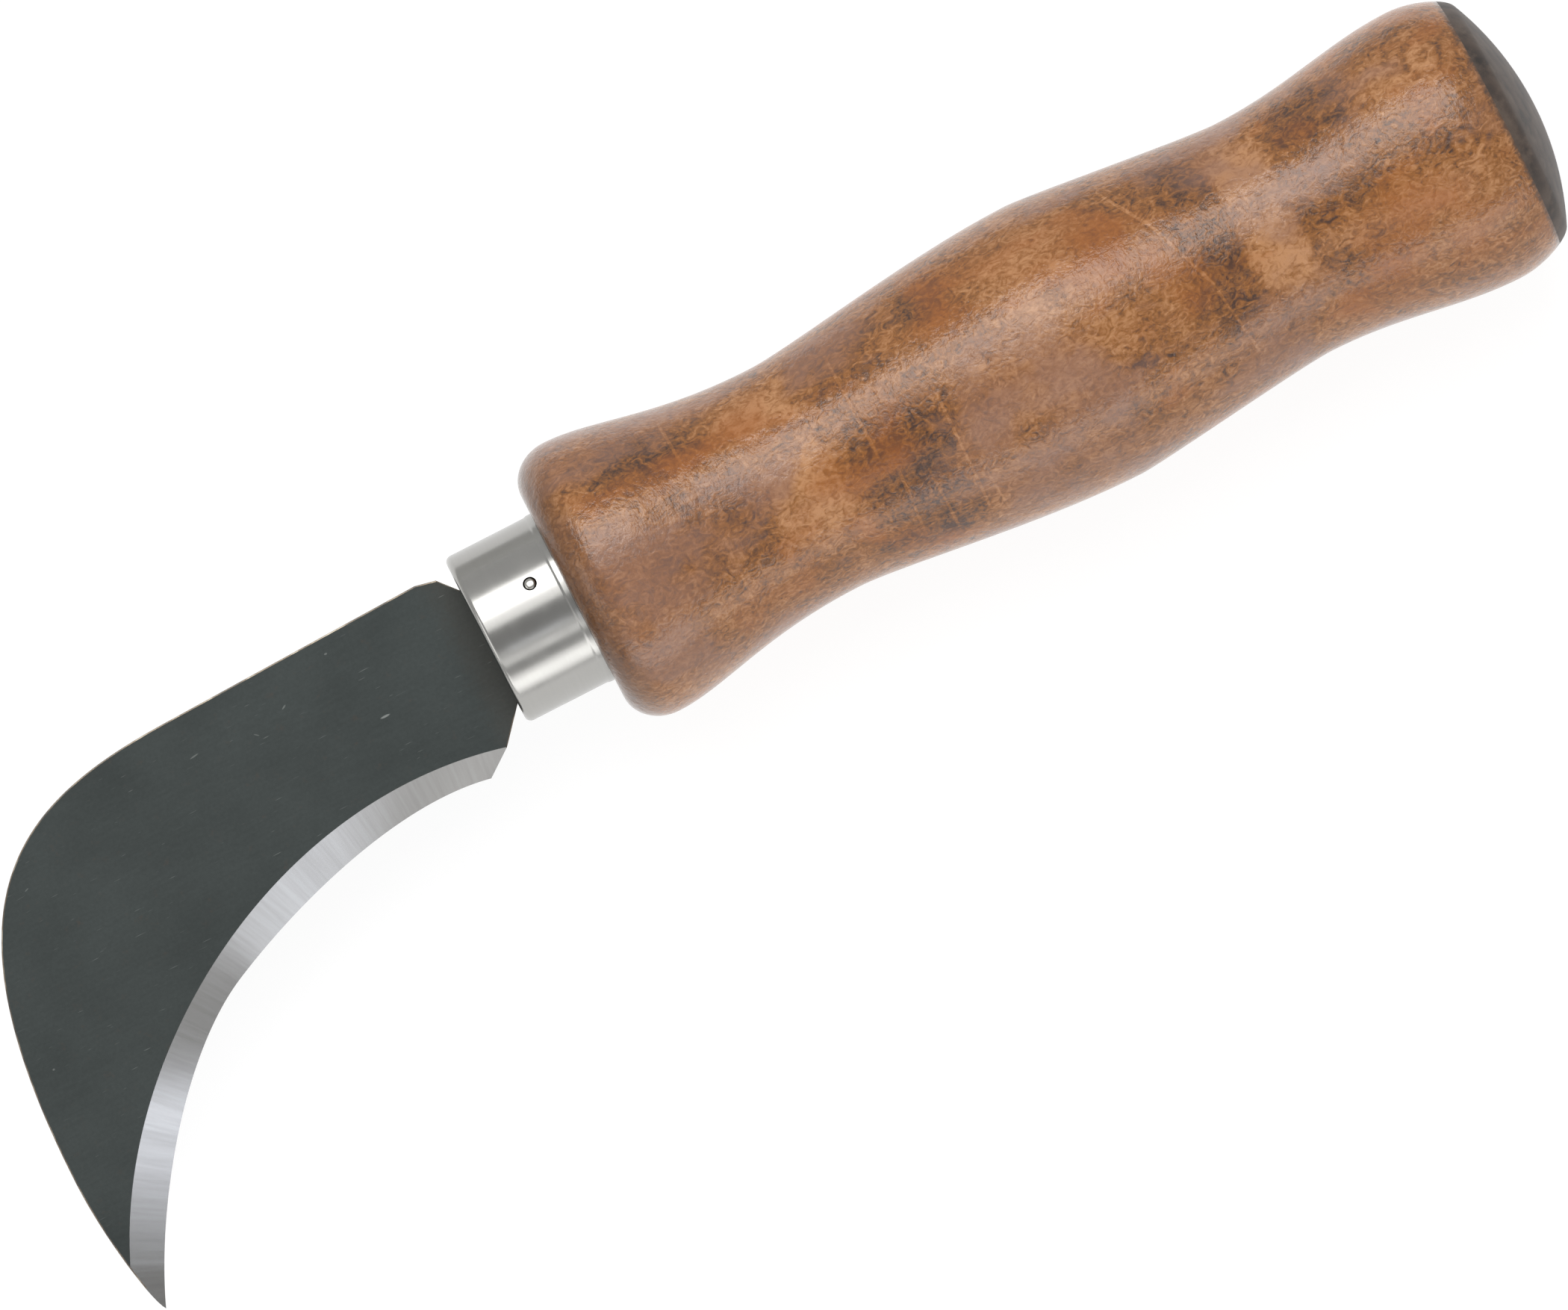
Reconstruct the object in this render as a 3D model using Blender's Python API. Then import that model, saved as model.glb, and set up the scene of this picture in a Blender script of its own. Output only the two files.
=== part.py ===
"""Hook-bladed knife: a flat steel blade with a driven tang, a drawn ferrule, its brad and a turned wooden handle.

Every outline is drawn in the knife's own axes: x runs forward from the handle's front shoulder along
the handle's centre line, y runs across towards the hook's point, z stands square to the blade's flat.
"""

import math

import bmesh
import bpy
from mathutils import Vector
from mathutils.geometry import interpolate_bezier

MM = 0.001
GAP = 0.3 * MM  # clearance between pieces that touch
WELD = 0.001 * MM
ROUND_STEPS = 48
CURVE_STEPS = 8

HANDLE_LENGTH = 114.3 * MM
HANDLE_RADIUS = 15.9 * MM
SHOULDER_LAND_RADIUS = 11.9 * MM
FRONT_SWELL = 4.6 * MM
DOME_RADIUS = 32.0 * MM
DOME_EDGE_RADIUS = 13.2 * MM

FERRULE_RADIUS = 9.75 * MM
FERRULE_LENGTH = 10.3 * MM
FERRULE_WALL = 0.8 * MM
FERRULE_LIP = 1.2 * MM
SLOT_SIDE_ROOM = 0.5 * MM

BRAD_RADIUS = 0.65 * MM
BRAD_PLACE = 3.4 * MM
BRAD_LEAN = math.radians(19.2)
BRAD_TIP_DEPTH = 3.9 * MM
BRAD_POINT = 1.5 * MM
BRAD_CROWN = 0.15 * MM

BLADE_THICKNESS = 1.6 * MM
EDGE_THICKNESS = 0.1 * MM
TANG_THICKNESS = 1.4 * MM
TANG_TIP_THICKNESS = 1.2 * MM
MORTISE_EASE = 0.5 * MM
BEND_STATIONS = 29
FLAT_STATIONS = 34
TIP_STATIONS = 5

BLADE_REACH = 75.0 * MM  # the back of the hook, in front of the shoulder
HOOK_REACH = 47.4 * MM  # the point, to the side of the centre line

# Bezier outlines in millimetres: knot, pull, pull, knot and so on.
BACK_MM = (
    (44.7, -7.75),
    (62.0, -7.25),
    (75.0, -2.6),
    (75.0, 31.4),
    (75.0, 34.9),
    (74.55, 38.9),
    (74.0, 42.05),
)
POINT_BACK_MM = ((74.0, 42.05), (73.55, 44.7), (73.0, 46.8), (72.55, 47.4))
CUTTING_EDGE_MM = (
    (16.4, 13.2),
    (27.1, 10.9),
    (42.1, 16.25),
    (49.8, 20.0),
    (58.75, 24.35),
    (68.45, 37.3),
    (72.55, 47.4),
)
GRIND_LINE_MM = ((13.4, 11.0), (38.05, 4.6), (65.15, 20.95), (74.0, 42.05))
SPINE_CORNER_MM = (14.4, -8.6)

# Where the tang starts, narrows and ends: x, low y, high y.
TANG_MM = ((-48.0, -1.6, 1.6), (-45.0, -2.6, 2.6), (8.0, -4.4, 4.6), (10.3, -6.0, 7.4))
HEEL_CUT_MM = (12.1, -8.1, 9.5)

# Swells and waists of the handle: distance behind the shoulder, radius, pull before and pull after.
HANDLE_WAVES_MM = (
    (4.6, 15.9, 0.0, 5.6),
    (27.5, 12.9, 11.4, 5.1),
    (59.5, 15.9, 11.6, 2.7),
    (83.3, 13.5, 3.5, 8.6),
    (104.7, 15.75, 7.0, 0.0),
)
BUTT_ROUND_MM = ((104.7, 15.75), (107.6, 15.75), (110.9, 14.3), (111.45, 13.2))


def clear_scene():
    for obj in list(bpy.data.objects):
        bpy.data.objects.remove(obj, do_unlink=True)


def finish(name, colour, roughness, metallic):
    """A plain principled material."""
    material = bpy.data.materials.new(name)
    material.use_nodes = True
    shader = material.node_tree.nodes["Principled BSDF"]
    shader.inputs["Base Color"].default_value = (*colour, 1.0)
    shader.inputs["Roughness"].default_value = roughness
    shader.inputs["Metallic"].default_value = metallic
    material.diffuse_color = (*colour, 1.0)
    return material


def bezier(knots_mm, steps=CURVE_STEPS):
    """Points in metres along a chain of Bezier spans, given as knot, pull, pull, knot and so on."""
    knots = [Vector((x, y, 0.0)) * MM for x, y in knots_mm]
    points = [knots[0]]
    for start in range(0, len(knots) - 1, 3):
        first, pull_out, pull_in, last = knots[start : start + 4]
        points += interpolate_bezier(first, pull_out, pull_in, last, steps + 1)[1:]
    return points


def spaced(points, count):
    """The same run of points, taken at count + 1 places an equal length apart."""
    lengths = [0.0]
    for here, there in zip(points, points[1:]):
        lengths.append(lengths[-1] + (there - here).length)
    taken = [points[0]]
    span = 0
    for step in range(1, count):
        wanted = lengths[-1] * step / count
        while lengths[span + 1] < wanted:
            span += 1
        share = (wanted - lengths[span]) / (lengths[span + 1] - lengths[span])
        taken.append(points[span].lerp(points[span + 1], share))
    return taken + [points[-1]]


def split_nearest(points, target):
    """The run cut in two at its point nearest to target, which both halves keep."""
    at = min(range(len(points)), key=lambda i: (points[i] - target).length)
    return points[: at + 1], points[at:]


def new_object(name, shape, parent, material=None):
    """An object made from a bmesh, which is freed."""
    mesh = bpy.data.meshes.new(name)
    bmesh.ops.recalc_face_normals(shape, faces=shape.faces)
    shape.to_mesh(mesh)
    shape.free()
    obj = bpy.data.objects.new(name, mesh)
    bpy.context.collection.objects.link(obj)
    obj.parent = parent
    if material:
        mesh.materials.append(material)
    return obj


def turned(name, outline, parent, material=None):
    """A body turned about x, from (x, radius) points that start and end on the centre line."""
    shape = bmesh.new()
    points = [shape.verts.new((x, 0.0, radius)) for x, radius in outline]
    edges = [shape.edges.new(pair) for pair in zip(points, points[1:])]
    bmesh.ops.spin(
        shape,
        geom=points + edges,
        cent=(0.0, 0.0, 0.0),
        axis=(1.0, 0.0, 0.0),
        angle=math.tau,
        steps=ROUND_STEPS,
        use_merge=True,
    )
    bmesh.ops.remove_doubles(shape, verts=shape.verts, dist=WELD)
    obj = new_object(name, shape, parent, material)
    obj.data.shade_smooth()
    obj.data.set_sharp_from_angle(angle=math.radians(40))
    return obj


def slab(name, outline, thickness, parent):
    """A flat plate centred on z = 0, from the (x, y) points of its outline."""
    shape = bmesh.new()
    ring = [shape.verts.new((x, y, -thickness / 2)) for x, y in outline]
    face = shape.faces.new(ring)
    raised = bmesh.ops.extrude_face_region(shape, geom=[face])["geom"]
    top = [item for item in raised if isinstance(item, bmesh.types.BMVert)]
    bmesh.ops.translate(shape, verts=top, vec=(0.0, 0.0, thickness))
    return new_object(name, shape, parent)


def make_cutter(obj):
    obj.hide_render = True
    obj.display_type = "WIRE"
    return obj


def cut(obj, cutter):
    modifier = obj.modifiers.new(cutter.name, "BOOLEAN")
    modifier.operation = "DIFFERENCE"
    modifier.solver = "EXACT"
    modifier.object = cutter


def arc(centre, radius, start, end, steps=CURVE_STEPS):
    """Points (x, radius) on a circle from one angle to another, both in degrees from +x."""
    turns = [math.radians(start + (end - start) * i / steps) for i in range(steps + 1)]
    return [(centre[0] + radius * math.cos(a), centre[1] + radius * math.sin(a)) for a in turns]


def tang_sections():
    """Cross-sections from the tang's tip to the blade's heel: spine, grind, edge, back half, edge half."""
    halves = (TANG_TIP_THICKNESS / 2, TANG_TIP_THICKNESS / 2, TANG_THICKNESS / 2, BLADE_THICKNESS / 2)
    heel_half = BLADE_THICKNESS / 2
    rows = [(*row, half) for row, half in zip(TANG_MM, halves)]
    rows.append((*HEEL_CUT_MM, heel_half))
    sections = []
    for x, low, high, half in rows:
        spine = Vector((x, low, 0.0)) * MM
        edge = Vector((x, high, 0.0)) * MM
        sections.append((spine, spine.lerp(edge, 0.8), edge, half, half))
    heel = Vector((*SPINE_CORNER_MM, 0.0)) * MM
    plunge = Vector((*GRIND_LINE_MM[0], 0.0)) * MM
    sections.append((heel, plunge, plunge, heel_half, heel_half))
    return sections


def blade_sections():
    """Cross-sections from the heel's grind to the point."""
    half = BLADE_THICKNESS / 2
    fine = EDGE_THICKNESS / 2
    heel = Vector((*SPINE_CORNER_MM, 0.0)) * MM
    bend = [heel] + bezier(BACK_MM[:4])
    spine = spaced(bend, BEND_STATIONS) + spaced(bezier(BACK_MM[3:]), FLAT_STATIONS - BEND_STATIONS)[1:]
    grind = spaced(bezier(GRIND_LINE_MM, FLAT_STATIONS), FLAT_STATIONS)
    edge = bezier(CUTTING_EDGE_MM, FLAT_STATIONS)
    along, tip = split_nearest(edge, grind[-1] + (edge[-1] - grind[-1]) * 0.25)
    along = spaced(along, FLAT_STATIONS - 1)
    sections = []
    for back, bevel, cutting in zip(spine[1:], grind[1:], along):
        sections.append((back, bevel, cutting, half, fine))
    tip = spaced(tip, TIP_STATIONS)
    back = spaced(bezier(POINT_BACK_MM), TIP_STATIONS)
    grind_width = (back[0] - tip[0]).length
    for outer, cutting in zip(back[1:-1], tip[1:-1]):
        share = (outer - cutting).length / grind_width
        thick = fine + (half - fine) * share
        sections.append((outer, outer, cutting, thick, fine))
    sections.append((back[-1], back[-1], tip[-1], fine, fine))
    return sections


def make_blade(parent, material):
    """Blade and tang in one piece, lofted through its cross-sections and ground on both sides."""
    shape = bmesh.new()
    loops = []
    for spine, grind, edge, thick, fine in tang_sections() + blade_sections():
        ring = [(spine, thick), (grind, thick), (edge, fine), (edge, -fine), (grind, -thick), (spine, -thick)]
        loops.append([shape.verts.new((point.x, point.y, z)) for point, z in ring])
    shape.faces.new(loops[0])
    shape.faces.new(reversed(loops[-1]))
    for near, far in zip(loops, loops[1:]):
        for side in range(len(near)):
            after = (side + 1) % len(near)
            shape.faces.new((near[side], near[after], far[after], far[side]))
    bmesh.ops.remove_doubles(shape, verts=shape.verts, dist=WELD)
    bmesh.ops.dissolve_degenerate(shape, edges=shape.edges, dist=WELD)
    return new_object("blade", shape, parent, material)


def handle_outline():
    """The handle's (x, radius) outline, from the spigot's front face to the butt."""
    spigot_radius = FERRULE_RADIUS - FERRULE_WALL - GAP
    spigot_front = FERRULE_LENGTH - FERRULE_WALL - GAP
    outline = [(spigot_front, 0.0), (spigot_front, spigot_radius - GAP)]
    outline += [(spigot_front - GAP, spigot_radius), (0.0, spigot_radius)]
    for step in range(CURVE_STEPS + 1):
        turn = math.pi / 2 * step / CURVE_STEPS
        x = -FRONT_SWELL * (1.0 - math.cos(turn))
        rise = (HANDLE_RADIUS - SHOULDER_LAND_RADIUS) * math.sin(turn)
        outline.append((x, SHOULDER_LAND_RADIUS + rise))
    for (x0, r0, _, after), (x1, r1, before, _) in zip(HANDLE_WAVES_MM, HANDLE_WAVES_MM[1:]):
        wave = bezier(((x0, r0), (x0 + after, r0), (x1 - before, r1), (x1, r1)))
        outline += [(-point.x, point.y) for point in wave[1:]]
    outline += [(-point.x, point.y) for point in bezier(BUTT_ROUND_MM, 5)[1:]]
    dome_centre = (DOME_RADIUS - HANDLE_LENGTH, 0.0)
    dome_turn = math.degrees(math.asin(DOME_EDGE_RADIUS / DOME_RADIUS))
    dome = arc(dome_centre, DOME_RADIUS, 180 - dome_turn, 180, 4)[1:]
    return outline + dome[:-1] + [(-HANDLE_LENGTH, 0.0)]


def ferrule_outline():
    """The drawn cup's (x, radius) outline: front face, rounded lip, wall, and back up the inside."""
    lip_centre = (FERRULE_LENGTH - FERRULE_LIP, FERRULE_RADIUS - FERRULE_LIP)
    outline = [(FERRULE_LENGTH, 0.0)] + arc(lip_centre, FERRULE_LIP, 0, 90, 5)
    inside = FERRULE_RADIUS - FERRULE_WALL
    outline += [(GAP, FERRULE_RADIUS), (GAP, inside)]
    return outline + [(FERRULE_LENGTH - FERRULE_WALL, inside), (FERRULE_LENGTH - FERRULE_WALL, 0.0)]


def lean_brad(obj):
    """Stands a piece that was turned about x on the brad's line, square to the centre line."""
    obj.rotation_mode = "YXZ"
    obj.rotation_euler = (BRAD_LEAN, -math.pi / 2, 0.0)
    obj.location = (BRAD_PLACE, 0.0, 0.0)


def make_brad(parent, material):
    """A headless brad, pointed inside and crowned where it ends at the ferrule's surface."""
    top = FERRULE_RADIUS
    crown = [(top + BRAD_CROWN, 0.0), (top + BRAD_CROWN * 0.7, BRAD_RADIUS * 0.6), (top, BRAD_RADIUS)]
    shank = [(BRAD_TIP_DEPTH + BRAD_POINT, BRAD_RADIUS), (BRAD_TIP_DEPTH, 0.0)]
    brad = turned("ferrule_pin", crown + shank, parent, material)
    lean_brad(brad)


def make_brad_hole(parent):
    radius = BRAD_RADIUS + GAP
    bottom = BRAD_TIP_DEPTH - GAP
    top = FERRULE_RADIUS + 1.0 * MM
    outline = [(top, 0.0), (top, radius), (bottom, radius), (bottom, 0.0)]
    hole = turned("brad_hole_cutter", outline, parent)
    lean_brad(hole)
    return make_cutter(hole)


def make_mortise(parent):
    ease = MORTISE_EASE
    near = [(x * MM - ease, low * MM - ease) for x, low, _ in TANG_MM]
    far = [(x * MM - ease, high * MM + ease) for x, _, high in TANG_MM]
    return make_cutter(slab("mortise_cutter", near + far[::-1], BLADE_THICKNESS + 2 * GAP, parent))


def make_slot(parent):
    _, low, high = TANG_MM[-1]
    low = low * MM - SLOT_SIDE_ROOM
    high = high * MM + SLOT_SIDE_ROOM
    behind = FERRULE_LENGTH - 2 * FERRULE_WALL
    ahead = FERRULE_LENGTH + FERRULE_WALL
    outline = [(behind, low), (ahead, low), (ahead, high), (behind, high)]
    return make_cutter(slab("slot_cutter", outline, BLADE_THICKNESS + 2 * GAP, parent))


def main():
    clear_scene()
    knife = bpy.data.objects.new("knife", None)
    bpy.context.collection.objects.link(knife)
    knife.location = (
        (HANDLE_LENGTH - BLADE_REACH) / 2,
        (HANDLE_RADIUS - HOOK_REACH) / 2,
        HANDLE_RADIUS,
    )
    blade_steel = finish("blade steel", (0.060, 0.068, 0.066), 0.45, 0.6)
    bright_plate = finish("bright plate", (0.62, 0.62, 0.60), 0.15, 1.0)
    brad_steel = finish("brad steel", (0.50, 0.50, 0.48), 0.30, 1.0)
    stained_wood = finish("stained hardwood", (0.33, 0.15, 0.06), 0.35, 0.0)

    brad_hole = make_brad_hole(knife)
    mortise = make_mortise(knife)
    slot = make_slot(knife)

    make_blade(knife, blade_steel)
    ferrule = turned("ferrule", ferrule_outline(), knife, bright_plate)
    cut(ferrule, slot)
    cut(ferrule, brad_hole)
    handle = turned("handle", handle_outline(), knife, stained_wood)
    cut(handle, mortise)
    cut(handle, brad_hole)
    make_brad(knife, brad_steel)


main()
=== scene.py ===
"""Hook-bladed knife: the fine surfaces, finishes, stage and camera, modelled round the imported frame.

Outlines are drawn in the knife's own axes, in millimetres: x runs forward from the handle's front
shoulder along the handle's centre line, y runs across towards the hook's point, z stands square to
the blade's flat. Each finished piece is moved to the place that the frame gives the shoulder.
"""

import math

import bmesh
import bpy
from bpy.props import FloatProperty, FloatVectorProperty, IntProperty, PointerProperty
from mathutils import Matrix, Vector


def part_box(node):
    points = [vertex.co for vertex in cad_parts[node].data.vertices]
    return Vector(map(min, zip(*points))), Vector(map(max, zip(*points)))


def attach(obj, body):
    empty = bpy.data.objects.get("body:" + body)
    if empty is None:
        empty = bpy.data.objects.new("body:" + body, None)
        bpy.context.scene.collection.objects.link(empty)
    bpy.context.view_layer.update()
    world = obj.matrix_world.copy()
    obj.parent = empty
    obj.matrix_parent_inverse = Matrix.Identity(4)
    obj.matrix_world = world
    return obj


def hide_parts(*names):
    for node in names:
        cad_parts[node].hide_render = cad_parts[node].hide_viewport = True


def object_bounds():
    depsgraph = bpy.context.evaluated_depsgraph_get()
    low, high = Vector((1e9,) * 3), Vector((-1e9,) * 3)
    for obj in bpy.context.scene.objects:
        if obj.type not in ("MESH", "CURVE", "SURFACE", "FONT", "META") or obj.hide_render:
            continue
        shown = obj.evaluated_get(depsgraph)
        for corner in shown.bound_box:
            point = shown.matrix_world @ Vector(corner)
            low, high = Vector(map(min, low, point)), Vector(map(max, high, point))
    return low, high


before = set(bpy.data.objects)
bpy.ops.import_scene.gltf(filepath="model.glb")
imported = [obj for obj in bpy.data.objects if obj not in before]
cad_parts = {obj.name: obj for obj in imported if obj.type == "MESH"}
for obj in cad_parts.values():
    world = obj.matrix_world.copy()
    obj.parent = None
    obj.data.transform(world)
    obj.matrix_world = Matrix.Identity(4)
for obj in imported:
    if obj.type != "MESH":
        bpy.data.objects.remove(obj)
CAD_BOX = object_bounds()

bl_info = {
    "name": "Hook-bladed knife",
    "version": (1, 0, 0),
    "blender": (4, 5, 0),
    "location": "3D View > Sidebar > Knife",
    "description": "Models the pieces, finishes and stage of a hook-bladed knife with a turned handle",
    "category": "Add Mesh",
}

MM = 0.001
PER_METRE = 1000.0  # turns metres into the millimetres that patterns are sized in
WELD = 0.001 * MM
MIX_A, MIX_B, MIX_RESULT = 6, 7, 2  # the colour sockets of a Mix node
NOISE_SPAN = {"From Min": 0.3, "From Max": 0.7}  # nearly all of a noise's values lie in this span

FERRULE_LENGTH = 10.3 * MM
FERRULE_LOW, FERRULE_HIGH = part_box("ferrule")
SHOULDER = Vector(
    (
        FERRULE_HIGH.x - FERRULE_LENGTH,
        (FERRULE_LOW.y + FERRULE_HIGH.y) / 2,
        (FERRULE_LOW.z + FERRULE_HIGH.z) / 2,
    )
)
FERRULE_RADIUS = (FERRULE_HIGH.z - FERRULE_LOW.z) / 2

# The blade's outline: Bezier spans as knot, pull, pull, knot and the steps each is drawn with.
# The grind line and the point's back together take as many steps as the cutting edge, and the
# back takes as many as the grind line, because each pair is bridged into a skin.
EDGE_STEPS = 50
POINT_STEPS = 6
GRIND_STEPS = 2 * EDGE_STEPS - POINT_STEPS
BACK_STEPS = (18, GRIND_STEPS - 18 - 14, 14)
BLADE_TOP = 0.8
EDGE_TOP = 0.05
BACK_SPANS = (
    ((14.4, -8.6, BLADE_TOP), (24.5, -8.32, BLADE_TOP), (34.6, -8.03, BLADE_TOP), (44.7, -7.75, BLADE_TOP)),
    ((44.7, -7.75, BLADE_TOP), (62.0, -7.25, BLADE_TOP), (75.0, -2.6, BLADE_TOP), (75.0, 31.4, BLADE_TOP)),
    ((75.0, 31.4, BLADE_TOP), (75.0, 34.9, BLADE_TOP), (74.55, 38.9, BLADE_TOP), (74.0, 42.05, BLADE_TOP)),
)
GRIND_SPAN = (
    (13.4, 11.0, BLADE_TOP),
    (38.05, 4.6, BLADE_TOP),
    (65.15, 20.95, BLADE_TOP),
    (74.0, 42.05, BLADE_TOP),
)
POINT_SPAN = ((74.0, 42.05, BLADE_TOP), (73.55, 44.7, 0.55), (73.0, 46.8, 0.25), (72.55, 47.4, EDGE_TOP))
EDGE_SPANS = (
    ((16.4, 13.2, EDGE_TOP), (27.1, 10.9, EDGE_TOP), (42.1, 16.25, EDGE_TOP), (49.8, 20.0, EDGE_TOP)),
    ((49.8, 20.0, EDGE_TOP), (58.75, 24.35, EDGE_TOP), (68.45, 37.3, EDGE_TOP), (72.55, 47.4, EDGE_TOP)),
)
CORNER_HEIGHT = 0.6 * BLADE_TOP * MM  # the blade's edges above this are its outer corners
CORNER_ANGLE = math.radians(60)
# The softened corners take a finish that is worn steel and also a painted highlight.
RUBBED_AND_HIGHLIGHT_SLOT = 2  # the material slot of the softened corners
BEVEL_CENTRE = (23.7, 65.0)  # the middle of the arc that the cutting edge follows
BEVEL_RADIUS = 52.5

# Sections of heel, neck and tang, from the blade back: x, low y, high y, half thickness.
HEEL_SECTION = (13.9, -8.6, 11.0, 0.8)
TANG_SECTIONS = (
    (12.1, -8.1, 9.5, 0.8),
    (10.3, -6.0, 7.4, 0.8),
    (8.0, -4.4, 4.6, 0.7),
    (-45.0, -2.6, 2.6, 0.6),
    (-48.0, -1.6, 1.6, 0.6),
)
MORTISE_SECTIONS = (
    (-48.5, -2.1, 2.1, 1.1),
    (-45.5, -3.1, 3.1, 1.1),
    (7.5, -4.9, 5.1, 1.1),
    (9.8, -6.5, 7.9, 1.1),
)

# The handle's outline as (x, 0, radius) spans from the shoulder to the butt, and their steps.
DOME_PULL = 4.55
HANDLE_SPANS = (
    (((0.0, 11.9), (0.0, 14.1), (-2.05, 15.9), (-4.6, 15.9)), 14),
    (((-4.6, 15.9), (-10.2, 15.9), (-16.1, 12.9), (-27.5, 12.9)), 22),
    (((-27.5, 12.9), (-32.6, 12.9), (-47.9, 15.9), (-59.5, 15.9)), 26),
    (((-59.5, 15.9), (-62.2, 15.9), (-79.8, 13.5), (-83.3, 13.5)), 24),
    (((-83.3, 13.5), (-91.9, 13.5), (-97.7, 15.75), (-104.7, 15.75)), 22),
    (((-104.7, 15.75), (-107.6, 15.75), (-110.9, 14.3), (-111.45, 13.2)), 14),
    (((-111.45, 13.2), (-113.33, 9.06), (-114.3, DOME_PULL), (-114.3, 0.0)), 12),
)
END_GRAIN_FROM = -109.8 * MM
END_GRAIN_SLOT = 1
SPIGOT_POINTS = ((0.0, 8.65), (8.9, 8.65), (9.2, 8.35), (9.2, 0.0))

# The ferrule's outline as (x, 0, radius) spans: rounded lip, wall and rolled rim.
FERRULE_SPANS = (
    (((10.3, 9.0), (10.3, 9.42), (9.97, 9.75), (9.55, 9.75)), 10),
    (((9.55, 9.75), (7.0, 9.75), (4.0, 9.75), (0.95, 9.75)), 6),
    (((0.95, 9.75), (0.7, 9.75), (0.66, 9.86), (0.45, 9.86)), 10),
    (((0.45, 9.86), (0.3, 9.86), (0.15, 9.86), (0.03, 9.86)), 4),
)
FERRULE_INSIDE = ((0.03, 8.95), (9.5, 8.95), (9.5, 0.0))
SLOT_SIZE = (3.0, 14.0, 1.8)
SLOT_MIDDLE = (10.0, 0.7, 0.0)

BRAD_PLACE = 3.4
BRAD_LEAN = math.radians(19.2)
BRAD_RADIUS = 0.62
BRAD_FOOT = 3.9
BRAD_POINT = 1.5
BRAD_TIP = 0.08  # the point's width as a share of the shank's
BRAD_SINK = 0.05  # how far the shank ends below the ferrule's surface
BRAD_CROWN = ((0.06, 0.06), (0.14, 0.07), (0.2, 0.04))  # inset and rise of each ring of the crown
HOLE_IN_WOOD = 0.95
HOLE_IN_PLATE = BRAD_RADIUS + 0.14
HOLE_BELOW = 0.3  # room under the brad's foot
HOLE_DEPTH = 8.0


def linear(code):
    """An sRGB hex colour as the linear RGBA that Blender's sockets hold."""
    channels = [int(code[i : i + 2], 16) / 255 for i in (1, 3, 5)]
    return (*(c / 12.92 if c <= 0.04045 else ((c + 0.055) / 1.055) ** 2.4 for c in channels), 1.0)


def colour_property(name, description, code):
    return FloatVectorProperty(
        name=name, description=description, default=linear(code), size=4, min=0, max=1, subtype="COLOR"
    )


class BladeSettings(bpy.types.PropertyGroup):
    edge_break: FloatProperty(
        name="Edge break",
        description="Width of the softened corner along the blade's back",
        default=0.14 * MM,
        min=0.02 * MM,
        max=0.4 * MM,
        unit="LENGTH",
    )
    flat_colour: colour_property("Flat", "Colour of the dark heat-treated flat", "#424746")
    scuff_colour: colour_property("Scuffs", "Colour where the dark skin is rubbed through", "#8E928F")
    ground_colour: colour_property("Ground bevel", "Colour of the bright ground steel", "#A9A8A6")


class HandleSettings(bpy.types.PropertyGroup):
    sides: IntProperty(
        name="Sides", description="How many steps the handle is turned in", default=160, min=48, max=256
    )
    dark_wood: colour_property("Dark figure", "Wood where it took the most stain", "#463229")
    mid_wood: colour_property("Wood", "Main colour of the stained wood", "#8B5A2F")
    light_wood: colour_property("Light figure", "Wood where it took the least stain", "#B28158")
    end_grain: colour_property("End grain", "Dark stained end grain of the butt", "#4A3F38")


class FerruleSettings(bpy.types.PropertyGroup):
    sides: IntProperty(
        name="Sides", description="How many steps the ferrule is turned in", default=144, min=48, max=256
    )
    plate_colour: colour_property("Plate", "Colour of the bright plating", "#ACABA8")
    brad_colour: colour_property("Brad", "Colour of the brad's wire", "#B9B7B2")


class StageSettings(bpy.types.PropertyGroup):
    key_radiance: FloatProperty(
        name="Key light", description="Brightness of the large soft panel", default=1.5, min=0, max=20
    )
    room_top: FloatProperty(
        name="Ceiling", description="Brightness of the room straight above", default=0.37, min=0, max=5
    )
    room_side: FloatProperty(
        name="Walls", description="Brightness of the room at table height", default=0.60, min=0, max=5
    )
    floor_glow: FloatProperty(
        name="Floor glow", description="Light that comes up through the floor", default=0.86, min=0, max=2
    )
    camera_tilt: FloatProperty(
        name="Camera tilt",
        description="How far the camera leans from straight above towards the blade",
        default=math.radians(0.55),
        subtype="ANGLE",
    )
    lens: FloatProperty(
        name="Lens", description="Focal length in millimetres", default=500.0, min=20, max=900
    )


class KnifeSettings(bpy.types.PropertyGroup):
    blade: PointerProperty(type=BladeSettings)
    handle: PointerProperty(type=HandleSettings)
    ferrule: PointerProperty(type=FerruleSettings)
    stage: PointerProperty(type=StageSettings)


# ---------------------------------------------------------------- modelling by hand, in code


def point_mm(place):
    """A point given in millimetres, in metres; two numbers are an (x, radius) point of a profile."""
    if len(place) == 2:
        place = (place[0], 0.0, place[1])
    return Vector(place) * MM


def pick_only(*objects):
    """Selects these objects alone, and makes the first one active."""
    bpy.ops.object.select_all(action="DESELECT")
    for obj in objects:
        obj.select_set(True)
    bpy.context.view_layer.objects.active = objects[0]


def draw_span(points, steps):
    """One Bezier span through knot, pull, pull and knot, made into a run of edges."""
    bpy.ops.object.select_all(action="DESELECT")
    bpy.ops.curve.primitive_bezier_curve_add()
    obj = bpy.context.object
    first, pull_out, pull_in, last = [point_mm(point) for point in points]
    spline = obj.data.splines[0]
    start, end = spline.bezier_points
    for knot in (start, end):
        knot.handle_left_type = knot.handle_right_type = "FREE"
    start.co, start.handle_left, start.handle_right = first, first, pull_out
    end.co, end.handle_left, end.handle_right = last, pull_in, last
    spline.resolution_u = steps
    bpy.ops.object.convert(target="MESH")
    return bpy.context.object


def join(*objects):
    pick_only(*objects)
    bpy.ops.object.join()
    return bpy.context.object


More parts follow.
